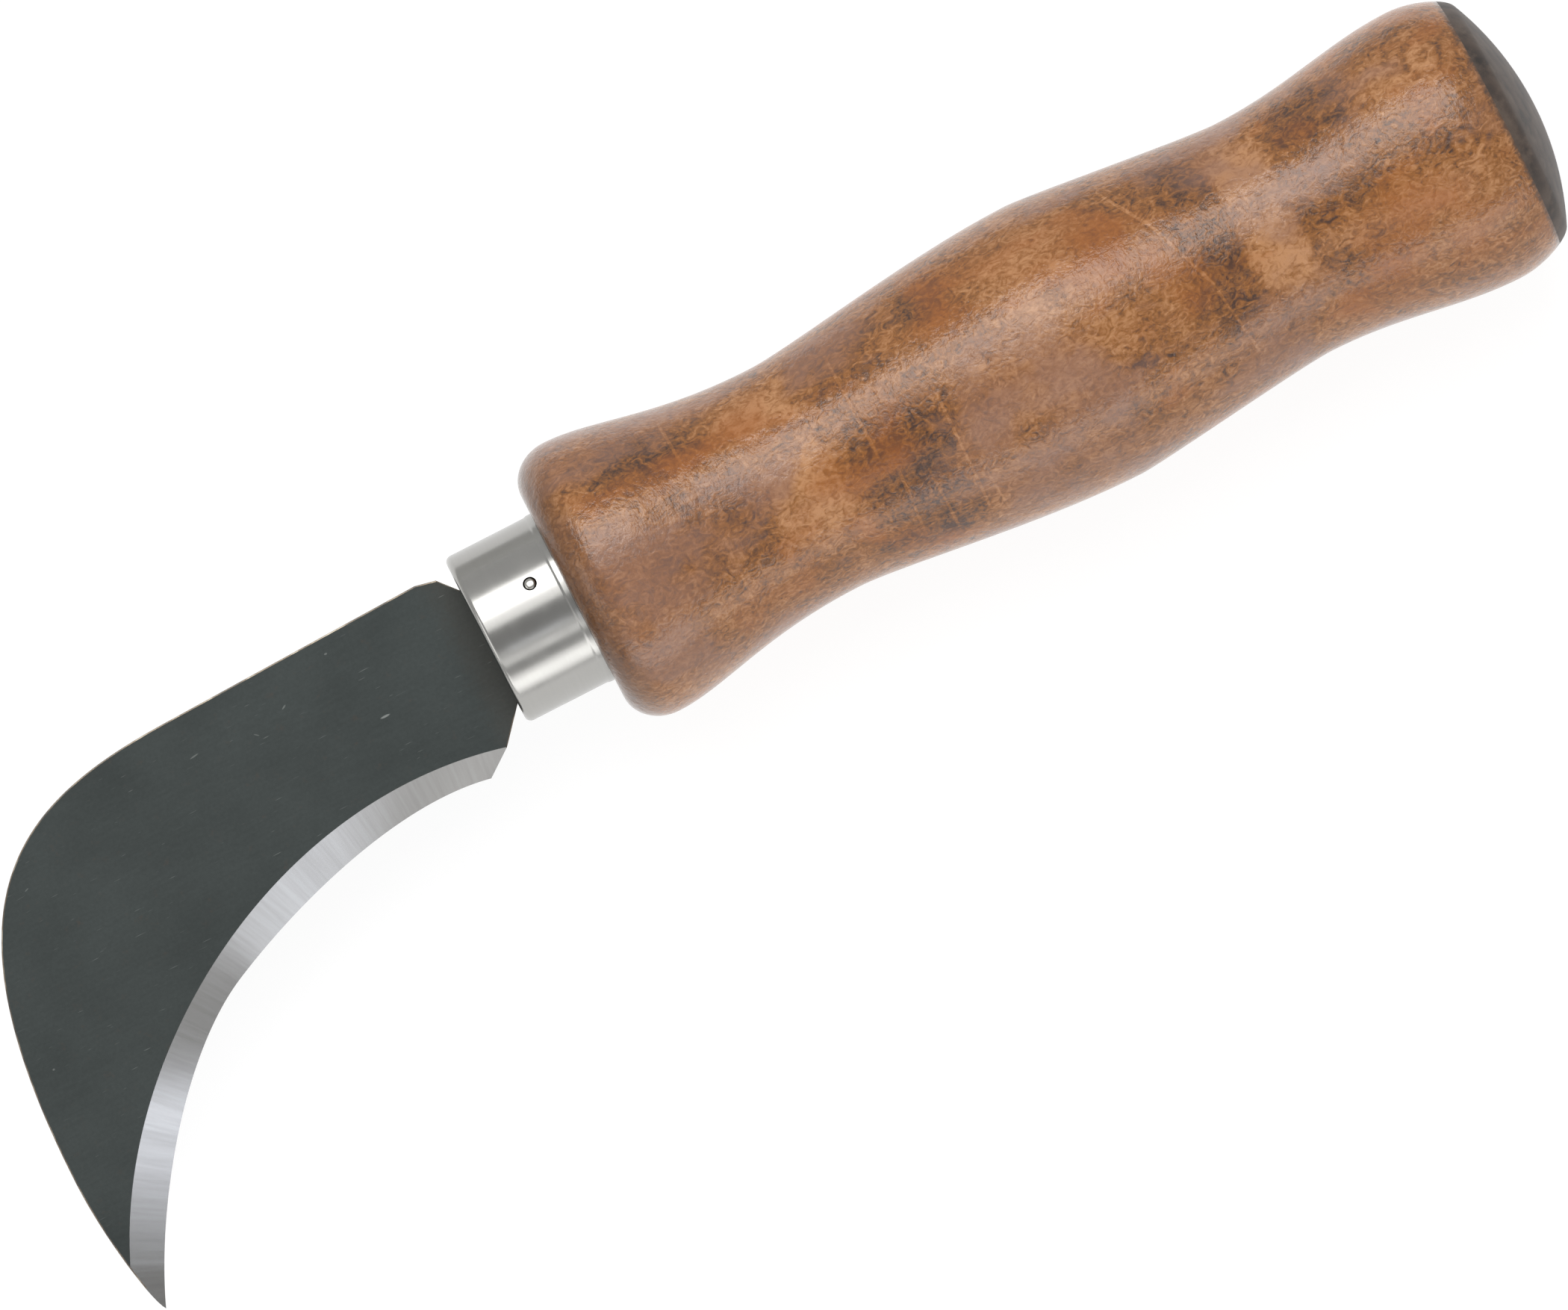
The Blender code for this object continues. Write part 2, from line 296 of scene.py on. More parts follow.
def weld(obj):
    """Merges points that lie on each other."""
    pick_only(obj)
    bpy.ops.object.mode_set(mode="EDIT")
    bpy.ops.mesh.select_all(action="SELECT")
    bpy.ops.mesh.remove_doubles(threshold=WELD)
    bpy.ops.object.mode_set(mode="OBJECT")
    return obj


def draw_run(spans):
    """Bezier spans, each with its steps, drawn end to end as one run of edges."""
    return weld(join(*[draw_span(points, steps) for points, steps in spans]))


def bridge(one, other, material):
    """The skin between two runs of edges with the same number of steps."""
    skin = join(one, other)
    bpy.ops.object.mode_set(mode="EDIT")
    bpy.ops.mesh.select_all(action="SELECT")
    bpy.ops.mesh.bridge_edge_loops()
    bpy.ops.object.mode_set(mode="OBJECT")
    skin.data.materials.append(material)
    return skin


def choose(obj, kind, test):
    """In edit mode, selects just the vertices, edges or faces that pass the test."""
    bpy.ops.mesh.select_all(action="DESELECT")
    bpy.ops.mesh.select_mode(type=kind)
    shape = bmesh.from_edit_mesh(obj.data)
    for item in {"VERT": shape.verts, "EDGE": shape.edges, "FACE": shape.faces}[kind]:
        if test(item):
            item.select_set(True)
    shape.select_flush_mode()
    bmesh.update_edit_mesh(obj.data)


def extrude_section(here, there):
    """Extrudes what is selected from one section to the next, given as x, low y, high y, half thickness."""
    middle = point_mm((here[0], (here[1] + here[2]) / 2, here[3]))
    target = point_mm((there[0], (there[1] + there[2]) / 2, there[3]))
    spread = (there[2] - there[1]) / (here[2] - here[1])
    bpy.ops.mesh.extrude_region_move(TRANSFORM_OT_translate={"value": target - middle})
    bpy.ops.transform.resize(value=(0.0, spread, 1.0), center_override=target)


def mend(obj):
    """Merges doubles, drops faces and edges with no size, and turns all faces outwards."""
    pick_only(obj)
    bpy.ops.object.mode_set(mode="EDIT")
    bpy.ops.mesh.select_all(action="SELECT")
    bpy.ops.mesh.remove_doubles(threshold=WELD)
    bpy.ops.mesh.dissolve_degenerate(threshold=WELD)
    bpy.ops.mesh.normals_make_consistent(inside=False)
    bpy.ops.object.mode_set(mode="OBJECT")


def turn_profile(obj, end, inside_points, sides):
    """Carries a run of edges on from its end through more points to the axis, and turns it about x."""
    pick_only(obj)
    bpy.ops.object.mode_set(mode="EDIT")
    here = point_mm(end)
    choose(obj, "VERT", lambda vert: (vert.co - here).length < WELD)
    for point in inside_points:
        there = point_mm(point)
        bpy.ops.mesh.extrude_region_move(TRANSFORM_OT_translate={"value": there - here})
        here = there
    bpy.ops.mesh.select_all(action="SELECT")
    bpy.ops.mesh.spin(steps=sides, angle=math.tau, center=(0, 0, 0), axis=(1, 0, 0), use_auto_merge=True)
    bpy.ops.object.mode_set(mode="OBJECT")
    mend(obj)


def cut_away(obj, cutter):
    """Takes the cutter's shape out of obj, and removes the cutter."""
    pick_only(obj)
    bpy.ops.object.modifier_add(type="BOOLEAN")
    modifier = obj.modifiers[-1]
    modifier.operation = "DIFFERENCE"
    modifier.object = cutter
    bpy.ops.object.modifier_apply(modifier=modifier.name)
    bpy.data.objects.remove(cutter)


def finish_piece(obj, name, node, crease):
    """Moves a piece from the knife's axes to its place, shades it, and ties it to the frame."""
    obj.name = name
    obj.data.name = name
    pick_only(obj)
    bpy.ops.transform.translate(value=SHOULDER)
    bpy.ops.object.transform_apply(location=True, rotation=True, scale=True)
    bpy.ops.object.shade_smooth_by_angle(angle=math.radians(crease))
    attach(obj, "root")
    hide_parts(node)
    bpy.ops.object.select_all(action="DESELECT")


# ---------------------------------------------------------------- finishes


def add(tree, kind, inputs=None, stops=(), **settings):
    """Adds a node with its settings, and its inputs as numbers, colours or the sockets that feed them."""
    made = tree.nodes.new("ShaderNode" + kind)
    for name, value in settings.items():
        setattr(made, name, value)
    for name, value in (inputs or {}).items():
        if isinstance(value, bpy.types.NodeSocket):
            tree.links.new(value, made.inputs[name])
        else:
            made.inputs[name].default_value = value
    for index, (place, colour) in enumerate(stops):
        elements = made.color_ramp.elements
        element = elements[index] if index < 2 else elements.new(place)
        element.position = place
        element.color = colour
    return made


def new_finish(name):
    """An empty material with its shader, and its coordinates in millimetres in the knife's axes.

    A noise scale of 2 on these coordinates then gives grains about 1/2 mm across.
    """
    material = bpy.data.materials.new(name)
    material.use_nodes = True
    tree = material.node_tree
    shader = tree.nodes["Principled BSDF"]
    object_place = add(tree, "TexCoord").outputs["Object"]
    place = add(
        tree,
        "Mapping",
        {"Vector": object_place, "Location": -SHOULDER * PER_METRE, "Scale": (PER_METRE,) * 3},
    ).outputs["Vector"]
    return material, tree, shader, place


# Short nicks in the blade's scale: distance forward and across, half length and half width in mm,
# turn in degrees and how bright each is.
NICKS = (
    (23.4, 2.25, 0.62, 0.14, 0, 0.8),
    (43.3, -3.2, 0.6, 0.09, 8, 0.4),
    (36.4, -2.2, 0.35, 0.08, -40, 0.3),
    (32.5, -3.5, 0.35, 0.1, 30, 0.4),
    (26.0, -6.5, 0.2, 0.12, 0, 0.4),
    (65.5, 1.3, 0.3, 0.08, 20, 0.3),
    (71.6, 19.5, 0.16, 0.12, 0, 0.4),
)
NICK_DEPTH = 0.5
HEEL_WEAR = {"From Min": 17.0, "From Max": 14.5, "To Max": 0.14}  # mm in front of the shoulder
RUST_TINT = linear("#4E4640")
HEEL_TINT = linear("#5A4A3C")


def steel_finish(settings):
    """Heat-treated carbon steel: rolled sheet with a dark, even scale, a little rubbed.

    The eye gets a charcoal satin with clouds about 11 mm wide, rolling lines 0.3 mm apart, brownish
    specks, short scuffs and a few bright nicks.
    """
    material, tree, shader, place = new_finish("heat-treated carbon steel, dark satin scale")
    cloud = add(tree, "TexNoise", {"Vector": place, "Scale": 0.09, "Detail": 5.0}).outputs["Fac"]
    along = add(tree, "Mapping", {"Vector": place, "Scale": (0.25, 3.0, 3.0)}).outputs["Vector"]
    rolling = add(tree, "TexNoise", {"Vector": along, "Scale": 1.0, "Detail": 3.0}).outputs["Fac"]
    grit = add(tree, "TexNoise", {"Vector": place, "Scale": 3.2, "Detail": 2.0}).outputs["Fac"]
    value = 1.0
    for source, change in ((cloud, 0.08), (rolling, 0.03), (grit, 0.05)):
        span = {**NOISE_SPAN, "To Min": 1.0 - change, "To Max": 1.0 + change}
        shade = add(tree, "MapRange", {"Value": source, **span}).outputs[0]
        value = add(tree, "Math", {0: value, 1: shade}, operation="MULTIPLY").outputs[0]
    flat = settings.flat_colour[:3]
    colour = add(tree, "VectorMath", {0: flat, "Scale": value}, operation="SCALE").outputs[0]

    rust = add(
        tree, "TexNoise", {"Vector": place, "Scale": 0.8, "Detail": 6.0, "Roughness": 0.7}
    ).outputs["Fac"]
    brown = add(
        tree, "MapRange", {"Value": rust, "From Min": 0.60, "From Max": 0.74, "To Max": 0.5}
    ).outputs[0]
    # Handling has left the heel browner than the rest.
    forward = add(tree, "SeparateXYZ", {0: place}).outputs["X"]
    uneven = add(tree, "Math", {0: rust, 1: 5.0, 2: forward}, operation="MULTIPLY_ADD").outputs[0]
    heel = add(tree, "MapRange", {"Value": uneven, **HEEL_WEAR}).outputs[0]
    tints = [(brown, RUST_TINT), (heel, HEEL_TINT)]
    for turn, stretch, level in ((0.15, 0.35, 0.75), (1.0, 0.5, 0.76), (-0.5, 0.45, 0.76)):
        lay = add(
            tree,
            "Mapping",
            {"Vector": place, "Rotation": (0.0, 0.0, turn), "Scale": (stretch, 5.0, 5.0)},
        ).outputs["Vector"]
        scuff = add(tree, "TexNoise", {"Vector": lay, "Scale": 1.0, "Detail": 1.0}).outputs["Fac"]
        mark = add(
            tree, "MapRange", {"Value": scuff, "From Min": level, "From Max": level + 0.08, "To Max": 0.35}
        ).outputs[0]
        tints.append((mark, settings.scuff_colour))
    for forward, across, half_length, half_width, turn, strength in NICKS:
        own = add(
            tree,
            "Mapping",
            {
                "Vector": place,
                "Location": (forward, across, BLADE_TOP),
                "Rotation": (0.0, 0.0, math.radians(turn)),
                "Scale": (half_length, half_width, NICK_DEPTH),
            },
            vector_type="TEXTURE",
        ).outputs["Vector"]
        reach = add(tree, "VectorMath", {0: own}, operation="LENGTH").outputs["Value"]
        nick = add(
            tree,
            "MapRange",
            {"Value": reach, "From Min": 0.6, "From Max": 1.0, "To Min": strength, "To Max": 0.0},
        ).outputs[0]
        tints.append((nick, settings.scuff_colour))
    for share, tint in tints:
        colour = add(
            tree, "Mix", {0: share, MIX_A: colour, MIX_B: tint}, data_type="RGBA"
        ).outputs[MIX_RESULT]
    tree.links.new(colour, shader.inputs["Base Color"])

    rough = add(tree, "MapRange", {"Value": cloud, **NOISE_SPAN, "To Min": 0.42, "To Max": 0.52})
    tree.links.new(rough.outputs[0], shader.inputs["Roughness"])
    bump = add(tree, "Bump", {"Height": grit, "Strength": 0.25, "Distance": 0.01 * MM})
    tree.links.new(bump.outputs[0], shader.inputs["Normal"])
    shader.inputs["Metallic"].default_value = 0.85
    return material


def ground_finish(settings):
    """Ground carbon steel: the bevel cut by a fine wheel square to the edge.

    The eye gets bright metal with soft reflections, and hair lines 0.4 mm apart that cross the bevel.
    """
    material, tree, shader, place = new_finish("ground carbon steel, fine wheel lines")
    from_centre = add(
        tree, "Mapping", {"Vector": place, "Location": (-BEVEL_CENTRE[0], -BEVEL_CENTRE[1], 0.0)}
    ).outputs["Vector"]
    parts = add(tree, "SeparateXYZ", {0: from_centre}).outputs
    turn = add(tree, "Math", {0: parts["X"], 1: parts["Y"]}, operation="ARCTAN2").outputs[0]
    along = add(tree, "Math", {0: turn, 1: BEVEL_RADIUS}, operation="MULTIPLY").outputs[0]
    reach = add(tree, "VectorMath", {0: from_centre}, operation="LENGTH").outputs["Value"]
    across = add(tree, "Math", {0: reach, 1: 0.06}, operation="MULTIPLY").outputs[0]
    ruled = add(tree, "CombineXYZ", {"X": along, "Y": across}).outputs[0]
    hairs = add(tree, "TexNoise", {"Vector": ruled, "Scale": 2.4, "Detail": 4.0}).outputs["Fac"]
    sweep = add(tree, "TexNoise", {"Vector": ruled, "Scale": 0.3, "Detail": 2.0}).outputs["Fac"]
    ramp = add(
        tree,
        "ValToRGB",
        {0: hairs},
        stops=((0.3, linear("#A4A3A1")), (0.5, settings.ground_colour), (0.7, linear("#ACACAA"))),
    )
    tree.links.new(ramp.outputs[0], shader.inputs["Base Color"])
    rough = add(tree, "MapRange", {"Value": sweep, **NOISE_SPAN, "To Min": 0.13, "To Max": 0.16})
    tree.links.new(rough.outputs[0], shader.inputs["Roughness"])
    bump = add(tree, "Bump", {"Height": hairs, "Strength": 0.01, "Distance": 0.001 * MM})
    tree.links.new(bump.outputs[0], shader.inputs["Normal"])
    shader.inputs["Metallic"].default_value = 1.0
    return material


def rubbed_and_highlight_finish():
    """Heat-treated steel worn along its corner, with a painted highlight there.

    The eye gets a thin line where the scale is worn to a lighter, slightly brown metal in patches, and the
    same light colour stands as a painted highlight along the corner.
    """
    # This material is the corner's worn colour and also a painted highlight along the corner.
    material, tree, shader, place = new_finish("heat-treated carbon steel, rubbed corner")
    wear = add(tree, "TexNoise", {"Vector": place, "Scale": 0.5, "Detail": 5.0}).outputs["Fac"]
    # Painted highlight: these colours are lighter than the flat partly from wear and partly to stand for
    # the light that the corner catches.
    ramp = add(
        tree,
        "ValToRGB",
        {0: wear},
        stops=((0.35, linear("#57514B")), (0.55, linear("#7C7062")), (0.7, linear("#A39A8C"))),
    )
    tree.links.new(ramp.outputs[0], shader.inputs["Base Color"])
    shader.inputs["Metallic"].default_value = 0.9
    shader.inputs["Roughness"].default_value = 0.38
    return material


def plate_finish(name, colour, rough_low, rough_high):
    """Bright metal drawn and polished: nickel plate on the ferrule, bare wire on the brad.

    The eye gets a mirror, softened a little by rings about 0.17 mm apart and a faint haze of handling.
    """
    material, tree, shader, place = new_finish(name)
    ringed = add(tree, "Mapping", {"Vector": place, "Scale": (6.0, 0.12, 0.12)}).outputs["Vector"]
    rings = add(tree, "TexNoise", {"Vector": ringed, "Scale": 1.0, "Detail": 4.0}).outputs["Fac"]
    haze = add(tree, "TexNoise", {"Vector": place, "Scale": 0.35, "Detail": 4.0}).outputs["Fac"]
    dull = add(tree, "VectorMath", {0: colour[:3], 1: (0.93, 0.93, 0.92)}, operation="MULTIPLY").outputs[0]
    mixed = add(tree, "Mix", {0: rings, MIX_A: dull, MIX_B: colour}, data_type="RGBA").outputs[MIX_RESULT]
    tree.links.new(mixed, shader.inputs["Base Color"])
    rough = add(tree, "MapRange", {"Value": haze, **NOISE_SPAN, "To Min": rough_low, "To Max": rough_high})
    tree.links.new(rough.outputs[0], shader.inputs["Roughness"])
    bump = add(tree, "Bump", {"Height": rings, "Strength": 0.1, "Distance": 0.003 * MM})
    tree.links.new(bump.outputs[0], shader.inputs["Normal"])
    shader.inputs["Metallic"].default_value = 1.0
    return material


# Places on the handle where the stain took more or less than around them: distance behind the
# shoulder, place across, half length and half width in mm, a turn in degrees, and how much lighter
# (+) or darker (-) the wood is there.
STAIN_PATCHES = (
    (13.0, -9.6, 6.5, 2.8, 0, -0.29),
    (26.0, -9.0, 3.8, 2.6, 0, 0.34),
    (26.5, 2.0, 3.8, 4.5, 0, 0.31),
    (20.0, 0.5, 2.6, 4.2, 0, -0.15),
    (8.5, 1.0, 6.5, 5.0, 0, -0.06),
    (38.0, 6.0, 5.8, 9.0, 0, -0.26),
    (36.5, -9.5, 4.5, 2.6, 0, -0.11),
    (46.5, -10.5, 2.6, 2.0, 0, -0.22),
    (57.0, 1.0, 8.0, 4.5, 0, 0.16),
    (57.0, -9.0, 5.0, 3.0, 0, 0.16),
    (75.8, 1.0, 3.6, 5.5, 0, -0.25),
    (76.5, -9.5, 2.6, 3.6, 0, -0.22),
    (82.5, 1.5, 2.8, 4.0, 0, 0.36),
    (83.0, -8.0, 2.8, 3.0, 0, 0.39),
    (91.5, -10.4, 5.0, 2.8, -12, -0.29),
    (91.0, 0.0, 6.0, 1.6, 0, -0.18),
    (92.0, 6.0, 6.0, 1.6, 0, -0.11),
    (102.0, -9.0, 5.0, 3.0, 0, 0.16),
    (101.0, 4.0, 5.0, 5.0, 0, 0.10),
    (63.8, 5.5, 1.2, 0.35, -20, -0.26),
    (65.8, 6.0, 0.8, 0.3, 15, -0.26),
    (67.6, 6.1, 0.4, 0.25, 0, -0.2),
    (69.3, 6.2, 0.5, 0.25, 0, -0.2),
    (23.2, 0.0, 0.8, 0.6, 30, -0.30),
    (97.2, -4.0, 0.3, 0.3, 0, -0.5),
    (16.4, -10.2, 0.16, 3.4, 3, 0.26),
    (16.8, 8.0, 0.16, 5.2, -2, 0.22),
    (35.2, -4.0, 0.16, 7.6, 1, 0.22),
    (36.4, 7.5, 0.16, 5.0, -3, 0.20),
    (39.6, 9.0, 0.14, 4.0, 2, 0.20),
    (43.6, 6.5, 0.16, 7.5, -1, 0.24),
    (45.0, 10.0, 0.13, 3.5, 6, 0.18),
    (69.8, -10.4, 0.18, 3.7, 30, 0.28),
    (73.4, -2.7, 0.17, 4.9, 20, 0.26),
    (75.7, 6.6, 0.15, 5.4, 9, 0.20),
    (61.5, -7.2, 0.6, 1.4, 35, 0.14),
)
# Small round knots with rings: distance behind the shoulder, place across, radius.
KNOTS = ((105.0, 0.2, 2.6), (105.4, -9.8, 3.6), (31.0, -3.2, 1.6))
HANDLE_FACE = 15.0  # about how far the handle's surface is from its centre line
PATCH_DEPTH = 5.0  # the least half height of a stain patch, so that it reaches the surface
HUES = ((0.52, 0.68, linear("#9A5A28")), (0.48, 0.34, linear("#8A6859")))  # rusty, then grey-pink
SHOULDER_STAIN = {"From Min": -4.2, "From Max": -0.8, "To Max": 0.75}
SHOULDER_TINT = linear("#4C301B")
BUTT_STAIN = {"From Min": -109.5, "From Max": -108.9, "To Min": 0.8, "To Max": 0.0}
RING_GAP = 2.3


def wood_finish(settings):
    """Figured hardwood such as birch, turned, stained brown and lacquered to a half gloss.

    The eye gets warm brown that changes in patches 5 to 15 mm across, curls 1 mm and flecks 0.5 mm
    wide, fine lines square to the handle, small ringed knots, and an uneven film of clear lacquer.
    """
    material, tree, shader, place = new_finish("figured hardwood, turned, brown stain, lacquer")
    wander = add(tree, "TexNoise", {"Vector": place, "Scale": 0.16, "Detail": 3.0}).outputs["Color"]
    centred = add(tree, "VectorMath", {0: wander, 1: (0.5, 0.5, 0.5)}, operation="SUBTRACT").outputs[0]
    stray = (5.0, 5.0, 5.0)
    shifted = add(tree, "VectorMath", {0: centred, 1: stray, 2: place}, operation="MULTIPLY_ADD").outputs[0]

    # Each layer of figure: its coordinates, its grains per mm along and across, its noise settings
    # and its weight in the tone. The ragged one has none, and only frays the patches' edges.
    layers = {
        "patches": (shifted, 0.075, 0.15, {"Detail": 3.0}, 0.55),
        "bands": (shifted, 0.32, 0.035, {"Detail": 2.0}, 0.25),
        "curl": (place, 0.75, 1.05, {"Detail": 4.0, "Distortion": 1.8}, 1.5),
        "flecks": (place, 1.7, 2.2, {"Detail": 3.0, "Distortion": 1.2}, 0.6),
        "lines": (shifted, 2.6, 0.12, {"Detail": 3.0}, 0.14),
        "ragged": (place, 0.55, 0.30, {"Detail": 5.0, "Roughness": 0.65}, 0.0),
    }
    figure = {}
    tone = 0.5
    for name, (base, along, across, noise, weight) in layers.items():
        scale = (along, across, across)
        scaled = add(tree, "VectorMath", {0: base, 1: scale}, operation="MULTIPLY").outputs[0]
        source = add(tree, "TexNoise", {"Vector": scaled, "Scale": 1.0, **noise}).outputs["Fac"]
        figure[name] = source
        if weight:
            lean = add(tree, "Math", {0: source, 1: weight, 2: -0.5 * weight}, operation="MULTIPLY_ADD")
            tone = add(tree, "Math", {0: tone, 1: lean.outputs[0]}, operation="ADD").outputs[0]
    curl, flecks, lines, ragged = (figure[name] for name in ("curl", "flecks", "lines", "ragged"))
    frayed = add(tree, "Math", {0: ragged, 1: 4.0, 2: -2.0}, operation="MULTIPLY_ADD").outputs[0]
    for behind, across, half_length, half_width, turn, change in STAIN_PATCHES:
        height = math.sqrt(HANDLE_FACE**2 - across**2)
        own = add(
            tree,
            "Mapping",
            {
                "Vector": place,
                "Location": (-behind, across, height),
                "Rotation": (0.0, 0.0, math.radians(turn)),
                "Scale": (half_length, half_width, max(half_width, PATCH_DEPTH)),
            },
            vector_type="TEXTURE",
        ).outputs["Vector"]
        squared = add(tree, "VectorMath", {0: own, 1: own}, operation="MULTIPLY").outputs[0]
        reach = add(tree, "VectorMath", {0: squared}, operation="LENGTH").outputs["Value"]
        reach = add(tree, "Math", {0: reach, 1: frayed}, operation="ADD").outputs[0]
        share = add(
            tree,
            "MapRange",
            {"Value": reach, "From Min": 0.15, "From Max": 1.75, "To Min": change, "To Max": 0.0},
            interpolation_type="SMOOTHSTEP",
        ).outputs[0]
        tone = add(tree, "Math", {0: tone, 1: share}, operation="ADD").outputs[0]
    for behind, across, radius in KNOTS:
        height = math.sqrt(HANDLE_FACE**2 - across**2)
        own = add(
            tree,
            "Mapping",
            {
                "Vector": place,
                "Location": (-behind, across, height),
                "Scale": (radius, radius, 3 * radius),
            },
            vector_type="TEXTURE",
        ).outputs["Vector"]
        reach = add(tree, "VectorMath", {0: own}, operation="LENGTH").outputs["Value"]
        phase = add(tree, "Math", {0: reach, 1: 4.0 * math.pi, 2: curl}, operation="MULTIPLY_ADD")
        ring = add(tree, "Math", {0: phase.outputs[0]}, operation="SINE").outputs[0]
        fade = add(
            tree,
            "MapRange",
            {"Value": reach, "From Min": 0.6, "From Max": 1.3, "To Min": -0.14, "To Max": 0.0},
        ).outputs[0]
        tone = add(tree, "Math", {0: ring, 1: fade, 2: tone}, operation="MULTIPLY_ADD").outputs[0]

    ramp = add(
        tree,
        "ValToRGB",
        {0: tone},
        stops=((0.05, settings.dark_wood), (0.5, settings.mid_wood), (0.95, settings.light_wood)),
    )
    colour = ramp.outputs[0]
    # The stain runs from rusty to grey-pink over 10 mm or so, whatever the figure does.
    hue_place = add(
        tree,
        "Mapping",
        {"Vector": shifted, "Location": (40.0, 7.0, 3.0), "Scale": (0.07, 0.11, 0.11)},
    ).outputs["Vector"]
    hue = add(tree, "TexNoise", {"Vector": hue_place, "Scale": 1.0, "Detail": 4.0}).outputs["Fac"]
    tints = []
    for low, high, tint in HUES:
        span = {"From Min": low, "From Max": high, "To Max": 0.55}
        tints.append((add(tree, "MapRange", {"Value": hue, **span}).outputs[0], tint))
    # The shoulder's end grain took more stain, and the butt's has crept a little round the corner.
    forward = add(tree, "SeparateXYZ", {0: place}).outputs["X"]
    tints.append((add(tree, "MapRange", {"Value": forward, **SHOULDER_STAIN}).outputs[0], SHOULDER_TINT))
    uneven = add(tree, "Math", {0: curl, 1: 0.9, 2: forward}, operation="MULTIPLY_ADD").outputs[0]
    tints.append((add(tree, "MapRange", {"Value": uneven, **BUTT_STAIN}).outputs[0], settings.end_grain))
    for share, tint in tints:
        colour = add(
            tree, "Mix", {0: share, MIX_A: colour, MIX_B: tint}, data_type="RGBA"
        ).outputs[MIX_RESULT]
    tree.links.new(colour, shader.inputs["Base Color"])

    rough = add(tree, "MapRange", {"Value": curl, **NOISE_SPAN, "To Min": 0.5, "To Max": 0.62})
    tree.links.new(rough.outputs[0], shader.inputs["Roughness"])
    height = add(tree, "Math", {0: lines, 1: 0.8, 2: curl}, operation="MULTIPLY_ADD").outputs[0]
    height = add(tree, "Math", {0: flecks, 1: 0.4, 2: height}, operation="MULTIPLY_ADD").outputs[0]
    bump = add(tree, "Bump", {"Height": height, "Strength": 0.5, "Distance": 0.03 * MM})
    tree.links.new(bump.outputs[0], shader.inputs["Normal"])
    film = add(tree, "Math", {0: ragged, 1: 4.5, 2: height}, operation="MULTIPLY_ADD").outputs[0]
    film_bump = add(tree, "Bump", {"Height": film, "Strength": 0.7, "Distance": 0.06 * MM})
    tree.links.new(film_bump.outputs[0], shader.inputs["Coat Normal"])
    shader.inputs["Specular IOR Level"].default_value = 0.0
    shader.inputs["Coat Weight"].default_value = 1.0
    shader.inputs["Coat Roughness"].default_value = 0.12
    return material


def end_grain_finish(settings):
    """End grain of the same wood, sealed and stained almost black, with little lacquer left.

    The eye gets a dull dark brown, crossed by broad arcs of growth rings 2.3 mm apart.
    """
    material, tree, shader, place = new_finish("hardwood end grain, dark stain, worn lacquer")
    # The log's centre lay well below the handle, so its rings cross the butt as broad arcs.
    from_pith = add(
        tree,
        "Mapping",
        {"Vector": place, "Location": (0.0, 6.0, 34.0), "Scale": (0.0, 1.0, 1.0)},
    ).outputs["Vector"]
    pith_reach = add(tree, "VectorMath", {0: from_pith}, operation="LENGTH").outputs["Value"]
    blotch = add(
        tree, "TexNoise", {"Vector": place, "Scale": 0.4, "Detail": 5.0, "Roughness": 0.65}
    ).outputs["Fac"]
    bent = add(tree, "Math", {0: blotch, 1: 4.0, 2: pith_reach}, operation="MULTIPLY_ADD").outputs[0]
    year = add(tree, "Math", {0: bent, 1: math.tau / RING_GAP}, operation="MULTIPLY").outputs[0]
    rings = add(tree, "Math", {0: year}, operation="SINE").outputs[0]
    tone = add(tree, "Math", {0: rings, 1: 0.05, 2: blotch}, operation="MULTIPLY_ADD").outputs[0]
    ramp = add(
        tree,
        "ValToRGB",
        {0: tone},
        stops=((0.3, linear("#322D2A")), (0.5, settings.end_grain), (0.72, linear("#5A4E45"))),
    )
    tree.links.new(ramp.outputs[0], shader.inputs["Base Color"])
    bump = add(tree, "Bump", {"Height": blotch, "Strength": 0.5, "Distance": 0.05 * MM})
    tree.links.new(bump.outputs[0], shader.inputs["Normal"])
    shader.inputs["Roughness"].default_value = 0.5
    shader.inputs["Specular IOR Level"].default_value = 0.35
    return material


def floor_finish(glow):
    """Matt white acrylic, lit a little from below, with a faint cloud so that it isn't dead flat."""
    material, tree, shader, place = new_finish("matt white acrylic")
    cloud = add(tree, "TexNoise", {"Vector": place, "Scale": 0.004, "Detail": 2.0}).outputs["Fac"]
    ramp = add(
        tree, "ValToRGB", {0: cloud}, stops=((0.3, linear("#7B7B7B")), (0.7, linear("#7F7F7F")))
    )
    tree.links.new(ramp.outputs[0], shader.inputs["Base Color"])
    shader.inputs["Roughness"].default_value = 0.9
    shader.inputs["Specular IOR Level"].default_value = 0.1
    shader.inputs["Emission Color"].default_value = (1.0, 1.0, 1.0, 1.0)
    shader.inputs["Emission Strength"].default_value = glow
    return material


def card_finish():
    """Matt grey board, a little uneven where the paint was rolled on."""
    material, tree, shader, place = new_finish("matt grey board")
    cloud = add(tree, "TexNoise", {"Vector": place, "Scale": 0.02, "Detail": 2.0}).outputs["Fac"]
    ramp = add(tree, "ValToRGB", {0: cloud}, stops=((0.3, linear("#B0B0AE")), (0.7, linear("#B8B8B6"))))
    tree.links.new(ramp.outputs[0], shader.inputs["Base Color"])
    shader.inputs["Roughness"].default_value = 0.9
    return material


# ---------------------------------------------------------------- the pieces


